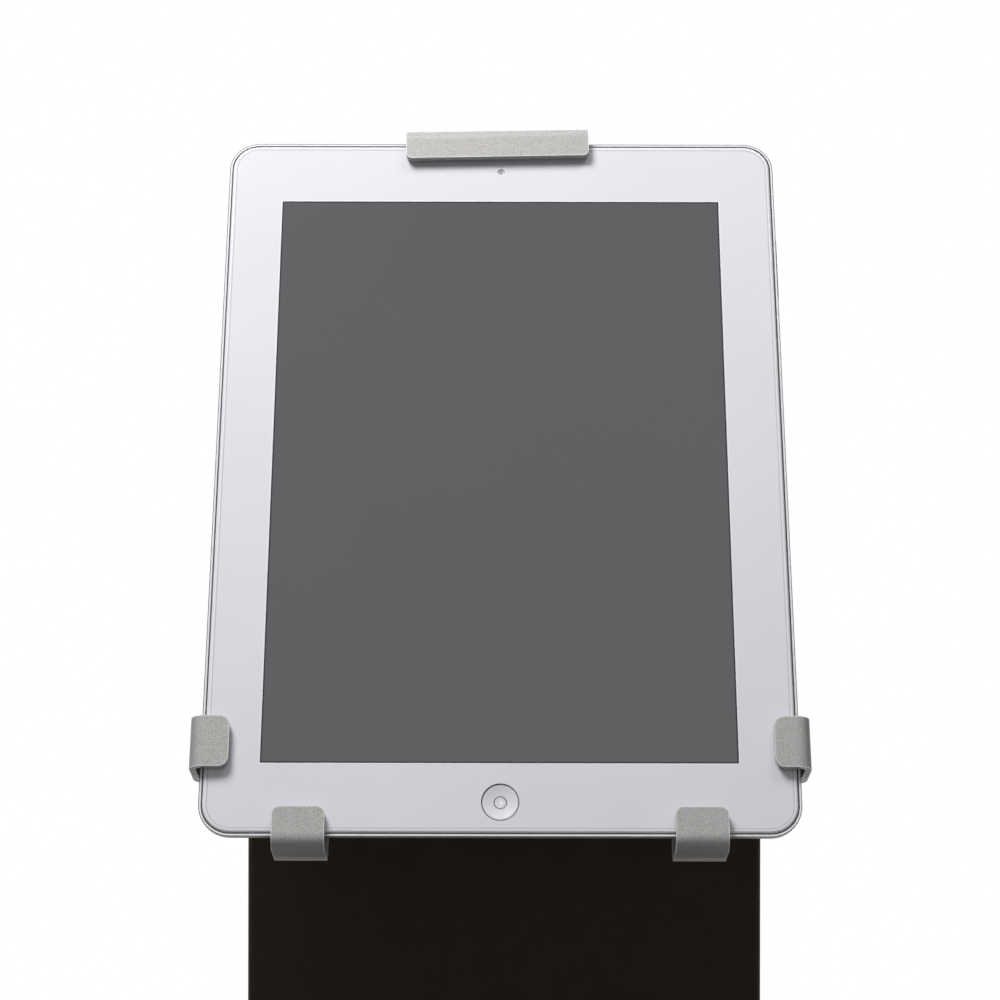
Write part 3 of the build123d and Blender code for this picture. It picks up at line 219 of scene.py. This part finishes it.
def flake_coat(name, base, dark_fleck, bright_fleck, edge_highlight, bend_shade):
    """Metallic powder coat: fine bright and dark flecks in a satin ground.

    Its edges carry a painted highlight, and the bends beside the tablet's edges a painted shade.
    """
    shade = Shade(name, base, 0.36, metallic=0.04, specular=0.12)
    dark_share = shade.ramp(shade.noise(0.26), 0.8, 0, start=0.34, end=0.5)
    with_dark = shade.mix(dark_share, base, dark_fleck)
    bright_share = shade.ramp(shade.noise(0.2), 0, 0.9, start=0.55, end=0.68)
    coat = shade.mix(bright_share, with_dark, bright_fleck)
    before_plate = shade.along(OUT, on_tablet(0, 0, PLATE_LEVEL), 1.0)
    on_lips = shade.along(OUT, on_tablet(0, 0, LIP_LEVEL), 1.2)
    # Painted shade: the walls between the lips and the plate are darkened towards the bend colour
    with_bend_shade = shade.mix(before_plate, coat, shade.mix(0.5, coat, bend_shade))
    # Painted highlight: a near-white colour within the edge width of every sharp edge
    shade.color(shade.mix(shade.edges(0.8), shade.mix(on_lips, with_bend_shade, coat), edge_highlight))
    shade.roughness(shade.ramp(shade.noise(0.22), 0.44, 0.32))
    shade.bump(shade.noise(0.32, 3), 0.03)
    return shade.material


def brushed(name, dark, light, roughness, stretch, metallic=1.0):
    """Metal with fine lines along one direction."""
    shade = Shade(name, light, roughness, metallic=metallic)
    lines = shade.noise(0.35, 4, shade.stretched(stretch))
    shade.color(shade.mix(shade.ramp(lines, 0, 1), dark, light))
    shade.roughness(shade.ramp(lines, roughness + 0.08, roughness - 0.06))
    shade.bump(lines, 0.012)
    return shade.material


def grained(name, dark, light, roughness, grain, depth, specular=0.4):
    """Moulded plastic or rubber with a fine grain."""
    shade = Shade(name, light, roughness, specular=specular)
    cells = shade.cells(grain)
    shade.color(shade.mix(shade.ramp(shade.noise(grain * 12, 3), 0, 1), dark, light))
    shade.roughness(shade.ramp(cells, roughness + 0.06, roughness - 0.04, start=0.1, end=0.8))
    shade.bump(cells, depth)
    return shade.material


def lacquer(name, dark, light, roughness, specular=0.5, glow=None):
    """Smooth lacquer or glass with a faint cloud in its colour, and a glow for a backlit one."""
    shade = Shade(name, light, roughness, specular=specular)
    shade.color(shade.mix(shade.ramp(shade.noise(60), 0, 1), dark, light))
    shade.roughness(shade.ramp(shade.noise(25, 3), roughness, roughness + 0.03))
    if glow:
        shade.shader.inputs["Emission Color"].default_value = srgb(*glow)
        shade.shader.inputs["Emission Strength"].default_value = 1.0
    shade.bump(shade.noise(9), 0.0015)
    return shade.material


def blasted_shell(name, back_dark, back_light, side_shade, rim):
    """Bead-blasted aluminium with a painted shade along its sides, and a bright cut edge round the
    glass.
    """
    shade = Shade(name, back_light, 0.36, metallic=0.15, specular=0.3)
    grain = shade.noise(0.12, 3)
    back = shade.mix(shade.ramp(grain, 0, 1), back_dark, back_light)
    before_back = shade.along(OUT, on_tablet(0, 0, SHELL_SIDE_LEVEL), 1.5)
    # Painted shade: the sides in front of the back are darkened towards the side colour
    with_side_shade = shade.mix(before_back, back, side_shade)
    edge = shade.along(OUT, on_tablet(0, 0, SHELL_EDGE_LEVEL), 0.1)
    shade.color(shade.mix(edge, with_side_shade, rim))
    shade.roughness(shade.ramp(edge, 0.4, 0.22, start=0, end=1))
    shade.bump(grain, 0.004)
    return shade.material


def button_gap(name, shaded, lit):
    """A narrow gap round the home button, with painted shade that is darkest on its upper left."""
    shade = Shade(name, srgb(60, 60, 64), 0.6)
    upper_left = (UP - ACROSS).normalized()
    share = shade.along(upper_left, on_tablet(0, BUTTON_RISE, 0), 4.0)
    # Painted shade: running from the lit colour at the lower right to the shaded colour at the
    # upper left
    shade.color(shade.mix(share, lit, shaded))
    shade.roughness(shade.ramp(shade.noise(0.3), 0.55, 0.65))
    return shade.material


# Name, finish, its colours as seen on a display, and its other values
FINISHES = (
    ("black_steel", powder_coat, ((29, 21, 15), (35, 26, 20)),
     dict(roughness=0.46, specular=0.1, grain=0.35, depth=0.03)),
    # silver_coat: ground, dark flecks, bright flecks, painted edge highlight, painted bend shade
    ("silver_coat", flake_coat,
     ((198, 196, 194), (140, 138, 136), (246, 245, 243), (250, 250, 249), (92, 90, 88)), {}),
    ("mast_silver", brushed, ((165, 165, 167), (196, 196, 198)),
     dict(roughness=0.34, stretch=(1, 1, 0.02))),
    ("zinc_steel", brushed, ((160, 160, 164), (205, 205, 208)),
     dict(roughness=0.3, stretch=(1, 0.2, 1))),
    ("black_screws", brushed, ((22, 22, 23), (42, 42, 44)),
     dict(roughness=0.36, stretch=(1, 1, 1), metallic=0.6)),
    ("black_rubber", grained, ((26, 26, 26), (38, 38, 38)),
     dict(roughness=0.78, grain=0.6, depth=0.03, specular=0.3)),
    ("black_plastic", grained, ((30, 30, 31), (42, 42, 43)),
     dict(roughness=0.5, grain=0.45, depth=0.03)),
    # tablet_aluminium: two back colours, the painted side shade, and the bright cut edge
    ("tablet_aluminium", blasted_shell,
     ((188, 188, 191), (204, 204, 207), (122, 122, 126), (236, 236, 238)), {}),
    ("tablet_window", grained, ((214, 214, 217), (224, 224, 227)),
     dict(roughness=0.42, grain=0.2, depth=0.004)),
    ("tablet_seal", grained, ((58, 58, 62), (70, 70, 74)),
     dict(roughness=0.6, grain=0.3, depth=0.005, specular=0.3)),
    ("tablet_front", lacquer, ((233, 234, 240), (237, 238, 244)), dict(roughness=0.1)),
    ("tablet_screen", lacquer, ((34, 34, 35), (36, 36, 37)),
     dict(roughness=0.12, glow=(71, 72, 74))),
    ("tablet_button", lacquer, ((234, 235, 239), (238, 239, 243)), dict(roughness=0.3)),
    ("battery_wrap", grained, ((60, 60, 64), (74, 74, 78)),
     dict(roughness=0.4, grain=2.0, depth=0.05)),
    ("circuit_board", grained, ((20, 62, 40), (28, 80, 52)),
     dict(roughness=0.35, grain=3.0, depth=0.03)),
    ("dark_parts", lacquer, ((20, 21, 25), (28, 29, 34)), dict(roughness=0.08)),
    ("socket_metal", brushed, ((150, 150, 154), (186, 186, 190)),
     dict(roughness=0.3, stretch=(1, 1, 1))),
    # Only on pieces that this script adds
    ("screen_line_dark", lacquer, ((24, 27, 42), (32, 35, 50)), dict(roughness=0.14)),
    ("screen_line_white", lacquer, ((244, 244, 248), (250, 250, 252)), dict(roughness=0.12)),
    ("mark_grey", lacquer, ((88, 88, 94), (96, 96, 102)), dict(roughness=0.2)),
    ("bevel_white", lacquer, ((246, 246, 249), (250, 250, 252)), dict(roughness=0.08)),
    ("rim_grey", lacquer, ((104, 104, 108), (112, 112, 116)), dict(roughness=0.4, specular=0.3)),
    ("bevel_grey", lacquer, ((208, 208, 216), (214, 214, 221)), dict(roughness=0.12)),
    # button_gap: the painted shade of its upper left, then its lower right
    ("button_gap", button_gap, ((52, 52, 56), (140, 140, 144)), {}),
)
materials = {
    name: finish(name, *(srgb(*color) for color in colors), **values)
    for name, finish, colors, values in FINISHES
}

for subpart in frame["record"]["subparts"]:
    for material_slot in nodes[subpart["node"]].material_slots:
        material_slot.material = materials[subpart["material_slot"]]


# Pieces that Blender adds. All their sizes are in millimetres
def finish_mesh(name, mesh, body, material, sharp_degrees=35):
    """Turns mesh data into an object that rides on a body."""
    bm = bmesh.new()
    bm.from_mesh(mesh)
    bmesh.ops.recalc_face_normals(bm, faces=bm.faces)
    bm.to_mesh(mesh)
    bm.free()
    mesh.shade_smooth()
    mesh.set_sharp_from_angle(angle=radians(sharp_degrees))
    piece = bpy.data.objects.new(name, mesh)
    scene.collection.objects.link(piece)
    mesh.materials.append(materials[material])
    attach(piece, body)
    return piece


def frame_of(origin, side, axis):
    """A matrix with its local x along side and its local z along axis."""
    z = axis.normalized()
    x = (side - z * side.dot(z)).normalized()
    y = z.cross(x)
    matrix = Matrix((x, y, z)).transposed().to_4x4()
    matrix.translation = origin
    return matrix


def tablet_frame(across, rise, front):
    """A matrix whose origin is a place on the tablet, with its local z out of the glass."""
    return frame_of(on_tablet(across, rise, front), ACROSS, OUT)


def rings_mesh(name, rings, caps=True):
    """A mesh through rings of points, which all have the same count, with or without end caps."""
    mesh = bpy.data.meshes.new(name)
    count = len(rings[0])
    points = [tuple(p) for ring in rings for p in ring]
    faces = []
    for level in range(len(rings) - 1):
        for i in range(count):
            j = (i + 1) % count
            a, b = level * count, (level + 1) * count
            faces.append((a + i, a + j, b + j, b + i))
    if caps:
        last = (len(rings) - 1) * count
        faces.append(tuple(reversed(range(count))))
        faces.append(tuple(last + i for i in range(count)))
    mesh.from_pydata(points, [], faces)
    return mesh


def loop_mesh(name, rings):
    """A mesh whose last ring joins its first, such as a frame or a ring."""
    return rings_mesh(name, [*rings, rings[0]], caps=False)


def joined(name, mesh, matrices):
    """One mesh from a mesh placed by each of the matrices."""
    bm = bmesh.new()
    for matrix in matrices:
        first = len(bm.verts)
        bm.from_mesh(mesh)
        bm.verts.ensure_lookup_table()
        bmesh.ops.transform(bm, matrix=matrix, verts=bm.verts[first:])
    mesh = bpy.data.meshes.new(name)
    bm.to_mesh(mesh)
    bm.free()
    return mesh


def turned(angle, radius, height):
    return mm(radius * cos(angle), radius * sin(angle), height)


def circle(radius, height, count=48):
    return [turned(2 * pi * i / count, radius, height) for i in range(count)]


def hexagon_ring(flats, height, count=48):
    """Points on a hexagon's outline at the same angles as a circle's points."""
    points = []
    for i in range(count):
        angle = 2 * pi * i / count
        from_flat = (angle + pi / 6) % (pi / 3) - pi / 6
        points.append(turned(angle, flats / 2 / cos(from_flat), height))
    return points


def lathe(name, profile):
    """A turned mesh from (radius, height) pairs."""
    return rings_mesh(name, [circle(radius, height) for radius, height in profile])


# Button-head screws, each with a hexagon socket
DOME_STEPS = 4
DOME_DRAW_IN = 0.45
BRIM_SHARE = 0.25
SOCKET_CHAMFER = 0.15
SOCKET_FLOOR_SHARE = 0.35


def socket_screw(name, head_radius, head_height, shank_radius, shank_length, flats):
    """A button-head screw. Its seat is at z 0 and its head points up."""
    rings = [circle(shank_radius, -shank_length), circle(shank_radius, 0), circle(head_radius, 0)]
    for step in range(DOME_STEPS + 1):
        angle = pi / 2 * step / DOME_STEPS
        radius = head_radius * (1 - DOME_DRAW_IN * (1 - cos(angle)))
        rings.append(circle(radius, head_height * (BRIM_SHARE + (1 - BRIM_SHARE) * sin(angle))))
    rings.append(hexagon_ring(flats + 2 * SOCKET_CHAMFER, head_height))
    rings.append(hexagon_ring(flats, head_height - SOCKET_CHAMFER))
    rings.append(hexagon_ring(flats, head_height * SOCKET_FLOOR_SHARE))
    return rings_mesh(name, rings)


def screws(name, node, body, slot, places, **sizes):
    """Screws in the places of a CAD node. places holds (seat, direction of the head)."""
    mesh = socket_screw(name + "_one", **sizes)
    matrices = [frame_of(seat, VERTICAL, direction) for seat, direction in places]
    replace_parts(finish_mesh(name, joined(name, mesh, matrices), body, slot), node)


COLUMN_BACK = 37.0
COLUMN_FOOT_Z = 13.0
COLUMN_LENGTH = 972.0
COLUMN_HALF_WIDTH = 85.0
COVER_SCREW_SIDE = 74.0
COVER_SCREW_INSET = 35.0
COVER_SCREW_ROWS = 4
cover_pitch = (COLUMN_LENGTH - 2 * COVER_SCREW_INSET) / (COVER_SCREW_ROWS - 1)
cover_lowest = COLUMN_FOOT_Z + COVER_SCREW_INSET
cover_places = [
    (mm(side * COVER_SCREW_SIDE, COLUMN_BACK, cover_lowest + row * cover_pitch), BACK)
    for side in (-1, 1)
    for row in range(COVER_SCREW_ROWS)
]
screws(
    "cover_screws_detail", "cover_screws", "stand", "black_screws", cover_places,
    head_radius=3.8, head_height=2.2, shank_radius=2.0, shank_length=6.9, flats=2.5,
)

GUIDE_SCREW_Y = 11.25
GUIDE_SCREW_Z = 973.0
GUIDE_SCREW_SPREAD = 11.0
guide_places = [
    (mm(side * COLUMN_HALF_WIDTH, GUIDE_SCREW_Y + end * GUIDE_SCREW_SPREAD, GUIDE_SCREW_Z),
     RIGHT * side)
    for side in (-1, 1)
    for end in (-1, 1)
]
screws(
    "top_guide_screws_detail", "top_guide_screws", "stand", "black_screws", guide_places,
    head_radius=3.8, head_height=2.0, shank_radius=2.0, shank_length=4.9, flats=2.5,
)

MAST_Y = 12.0
MAST_HEAD_HALF_DEPTH = 15.0
HEAD_SCREW_SIDE = 22.0
HEAD_SCREW_Z = 998.0
head_places = [
    (mm(side * HEAD_SCREW_SIDE, MAST_Y + face * MAST_HEAD_HALF_DEPTH, HEAD_SCREW_Z), BACK * face)
    for side in (-1, 1)
    for face in (-1, 1)
]
screws(
    "mast_head_screws_detail", "mast_head_screws", "mast", "zinc_steel", head_places,
    head_radius=4.5, head_height=2.5, shank_radius=2.5, shank_length=6.9, flats=3.0,
)

# Caps on the knobs: a shallow dome with a groove round it, from (share of the radius, height)
CAP_PROFILE = (
    (1.0, -0.6), (1.0, 0.35), (0.97, 0.5), (0.86, 0.5), (0.83, 0.2), (0.77, 0.2), (0.74, 0.55),
    (0.55, 0.8), (0.3, 0.95), (0.06, 1.0),
)
HEIGHT_KNOB_BACK = 59.5
HEIGHT_KNOB_Z = 940.0
TILT_KNOB_END = 44.8
CLIP_KNOB_PLACE = (-0.7, 90.0, -34.9)
for name, body, place, direction, radius in (
    ("height_knob_cap", "height_knob", mm(0, HEIGHT_KNOB_BACK, HEIGHT_KNOB_Z), BACK, 12.0),
    ("tilt_knob_cap", "tilt_knob", mm(TILT_KNOB_END, TILT_AXIS_Y, TILT_AXIS_Z), RIGHT, 8.5),
    ("clip_knob_cap", "clip_knob", on_tablet(*CLIP_KNOB_PLACE), -OUT, 6.0),
):
    mesh = lathe(name, [(radius * share, height) for share, height in CAP_PROFILE])
    mesh.transform(frame_of(place, VERTICAL, direction))
    finish_mesh(name, mesh, body, "black_plastic", 60)


# Screen: the lit area's panel, the dark line at its edge and the white line round it
SCREEN_WIDTH = 147.8
SCREEN_HEIGHT = 197.1
SCREEN_RISE = 0.25
SCREEN_SIDE = -0.28
SCREEN_LOW = -0.05
SCREEN_HIGH = 0.015
DARK_LINE = 0.48
WHITE_LINE = 0.42


def screen_ring(inset, level):
    """Corners of the screen's rectangle drawn in by an inset, at a level over the glass's front."""
    x = SCREEN_WIDTH / 2 - inset
    y = SCREEN_HEIGHT / 2 - inset
    return [mm(a * x, b * y, level) for a, b in ((-1, -1), (1, -1), (1, 1), (-1, 1))]


def band_rings(ring, outer, inner, low, high):
    """The four rings of a flat band between two insets and two levels."""
    return [ring(outer, low), ring(outer, high), ring(inner, high), ring(inner, low)]


screen_place = tablet_frame(SCREEN_SIDE, SCREEN_RISE, 0)
for name, outer, inner, slot, material in (
    ("screen_white_line", -WHITE_LINE, 0, "tablet_front", "screen_line_white"),
    ("screen_dark_line", 0, DARK_LINE, "tablet_screen", "screen_line_dark"),
):
    mesh = loop_mesh(name, band_rings(screen_ring, outer, inner, SCREEN_LOW, SCREEN_HIGH))
    mesh.transform(screen_place)
    finish_mesh(name, mesh, "holder", material)
face_rings = [screen_ring(DARK_LINE, SCREEN_LOW), screen_ring(DARK_LINE, SCREEN_HIGH)]
mesh = rings_mesh("screen_face", face_rings)
mesh.transform(screen_place)
finish_mesh("screen_face", mesh, "holder", "tablet_screen")

# Lines round the glass: its rounded edge in white, then a fine grey line, and the rim's cut edge,
# whose outer grey line is painted shade
TABLET_WIDTH = 185.2
TABLET_HEIGHT = 242.8
TABLET_CORNER = 10.0
CORNER_STEPS = 12
LINE_DEPTH = 0.1


def tablet_ring(inset, level):
    """Points on the tablet's outline drawn in by an inset, at a level over the glass's front."""
    radius = TABLET_CORNER - inset
    points = []
    for corner, (a, b) in enumerate(((1, 1), (-1, 1), (-1, -1), (1, -1))):
        x = a * (TABLET_WIDTH / 2 - TABLET_CORNER)
        y = b * (TABLET_HEIGHT / 2 - TABLET_CORNER)
        for step in range(CORNER_STEPS + 1):
            angle = pi / 2 * (corner + step / CORNER_STEPS)
            points.append(mm(x + radius * cos(angle), y + radius * sin(angle), level))
    return points


for name, outer, inner, front, slot, material in (
    ("glass_edge_white", 2.0, 2.3, 0.012, "tablet_front", "bevel_white"),
    ("glass_edge_line", 2.3, 2.75, 0.012, "tablet_front", "bevel_grey"),
    # Painted shade: a grey line along the rim's rounded outer edge
    ("rim_outer_line", 0.02, 0.27, -0.38, "tablet_aluminium", "rim_grey"),
    ("rim_bright_line", 0.27, 0.78, -0.37, "tablet_aluminium", "bevel_white"),
):
    mesh = loop_mesh(name, band_rings(tablet_ring, outer, inner, front - LINE_DEPTH, front))
    mesh.transform(tablet_frame(0, 0, 0))
    finish_mesh(name, mesh, "holder", material)

# Thin plain ring in the home button's dish, and the gap round the button, which reaches out over
# the glass as a painted shadow line
RING_RADIUS = 1.9
RING_SECTION = 0.16
RING_FLATNESS = 0.35
RING_STEPS = 12
RING_POINTS = 64
DISH_FLOOR = -0.75
DISH_SPHERE = 22.4
GAP_POINTS = 96
# Painted shadow: the ring's outer part lies on the glass round the hole
GAP_PROFILE = ((5.56, -0.3), (5.56, 0.012), (5.9, 0.012), (5.9, -0.05))
ring_level = DISH_FLOOR + RING_RADIUS**2 / 2 / DISH_SPHERE
ring_half_height = RING_FLATNESS * RING_SECTION
ring_profile = [
    (RING_RADIUS + RING_SECTION * cos(angle), ring_level + ring_half_height * sin(angle))
    for angle in (2 * pi * step / RING_STEPS for step in range(RING_STEPS))
]
for name, profile, points, body, slot, material, sharp in (
    ("home_button_ring", ring_profile, RING_POINTS,
     "home_button", "tablet_button", "mark_grey", 180),
    ("home_button_gap", GAP_PROFILE, GAP_POINTS, "holder", "tablet_seal", "button_gap", 35),
):
    mesh = loop_mesh(name, [circle(radius, height, points) for radius, height in profile])
    mesh.transform(tablet_frame(0, BUTTON_RISE, 0))
    finish_mesh(name, mesh, body, material, sharp)

# Lenses of the two cameras, from (radius, height) pairs; the front lens's pale grey is a painted
# reflection
FRONT_LENS = ((1.12, -0.1), (1.12, 0.02), (0.62, 0.02), (0.5, -0.02), (0.2, 0.02), (0.02, 0.03))
REAR_LENS = ((2.4, -0.1), (2.4, 0.05), (2.1, 0.05), (1.6, 0.2), (0.8, 0.3), (0.03, 0.33))
FRONT_LENS_PLACE = (0, 110.25, -0.35)
REAR_LENS_PLACE = (78.0, 106.0, -9.6)
for name, profile, place, direction, material in (
    # Painted reflection: the front lens is pale grey instead of dark glass
    ("front_camera_lens", FRONT_LENS, FRONT_LENS_PLACE, OUT, "bevel_grey"),
    ("rear_camera_lens", REAR_LENS, REAR_LENS_PLACE, -OUT, "dark_parts"),
):
    mesh = lathe(name, profile)
    mesh.transform(frame_of(on_tablet(*place), ACROSS, direction))
    finish_mesh(name, mesh, "holder", material, 50)

# Square lamps, all turned to the tablet: name, place and side in metres, power in watts
for name, place, side, power in (
    ("key_light", (-0.35, -0.33, 1.95), 0.4, 10.6),
    ("top_light", (0.35, -0.2, 2.0), 0.25, 1.8),
    ("back_light", (0.6, 2.2, 2.4), 1.5, 20.0),
):
    data = bpy.data.lights.new(name, "AREA")
    data.size = side
    data.energy = power
    lamp = bpy.data.objects.new(name, data)
    scene.collection.objects.link(lamp)
    lamp.location = place
    lamp.rotation_euler = (CENTRE - lamp.location).to_track_quat("-Z", "Y").to_euler()

# World: white for what the camera, gloss and glass see, and a soft level for the light itself
WHITE = (1, 1, 1, 1)
SOFT_LEVEL = 0.12


def seen_directly(tree):
    """1 for camera, glossy and transmission rays, else 0."""
    path = tree.nodes.new("ShaderNodeLightPath")
    total = path.outputs["Is Camera Ray"]
    for ray in ("Is Glossy Ray", "Is Transmission Ray"):
        total = add_node(tree, "Math", {0: total, 1: path.outputs[ray]}, "Value", "MAXIMUM")
    return total


world = bpy.data.worlds.new("world")
scene.world = world
world.use_nodes = True
tree = world.node_tree
tree.nodes.clear()
soft = add_node(tree, "Background", {"Color": WHITE, "Strength": SOFT_LEVEL}, "Background")
white = add_node(tree, "Background", {"Color": WHITE, "Strength": 1.0}, "Background")
surface = add_node(tree, "MixShader", {"Fac": seen_directly(tree), 1: soft, 2: white}, "Shader")
tree.links.new(surface, tree.nodes.new("ShaderNodeOutputWorld").inputs["Surface"])

# Floor: pale, keeps the shadow, and turns into the white of the world away from the stand
FLOOR_RADIUS = 3.2
FLOOR_POINTS = 96
FADE_START = 1.0
FADE_END = FLOOR_RADIUS * 0.95
FLOOR_GLOW = 0.7
FLOOR_GREY = (0.8, 0.8, 0.8, 1)
floor_mesh = bpy.data.meshes.new("floor")
floor_rim = [tuple(p) for p in circle(FLOOR_RADIUS / MM, 0, FLOOR_POINTS)]
floor_mesh.from_pydata(floor_rim, [], [tuple(range(FLOOR_POINTS))])
floor = bpy.data.objects.new("floor", floor_mesh)
scene.collection.objects.link(floor)
floor_material = bpy.data.materials.new("floor")
floor_material.use_nodes = True
tree = floor_material.node_tree
shader = tree.nodes["Principled BSDF"]
shader.inputs["Base Color"].default_value = FLOOR_GREY
shader.inputs["Roughness"].default_value = 0.9
shader.inputs["Specular IOR Level"].default_value = 0.1
shader.inputs["Emission Color"].default_value = WHITE
direct = seen_directly(tree)
glow = add_node(tree, "Math", {0: direct, 1: FLOOR_GLOW}, "Value", "MULTIPLY")
tree.links.new(glow, shader.inputs["Emission Strength"])
coords = add_node(tree, "TexCoord", {}, "Object")
distance = add_node(tree, "VectorMath", {0: coords}, "Value", "LENGTH")
away = tree.nodes.new("ShaderNodeMapRange")
away.interpolation_type = "SMOOTHSTEP"
feed(away, {"Value": distance, "From Min": FADE_START, "From Max": FADE_END})
share = add_node(tree, "Math", {0: away.outputs["Result"], 1: direct}, "Value", "MULTIPLY")
plain_white = add_node(tree, "Emission", {}, "Emission")
surface = add_node(
    tree, "MixShader", {"Fac": share, 1: shader.outputs["BSDF"], 2: plain_white}, "Shader"
)
tree.links.new(surface, tree.nodes["Material Output"].inputs["Surface"])
floor_mesh.materials.append(floor_material)
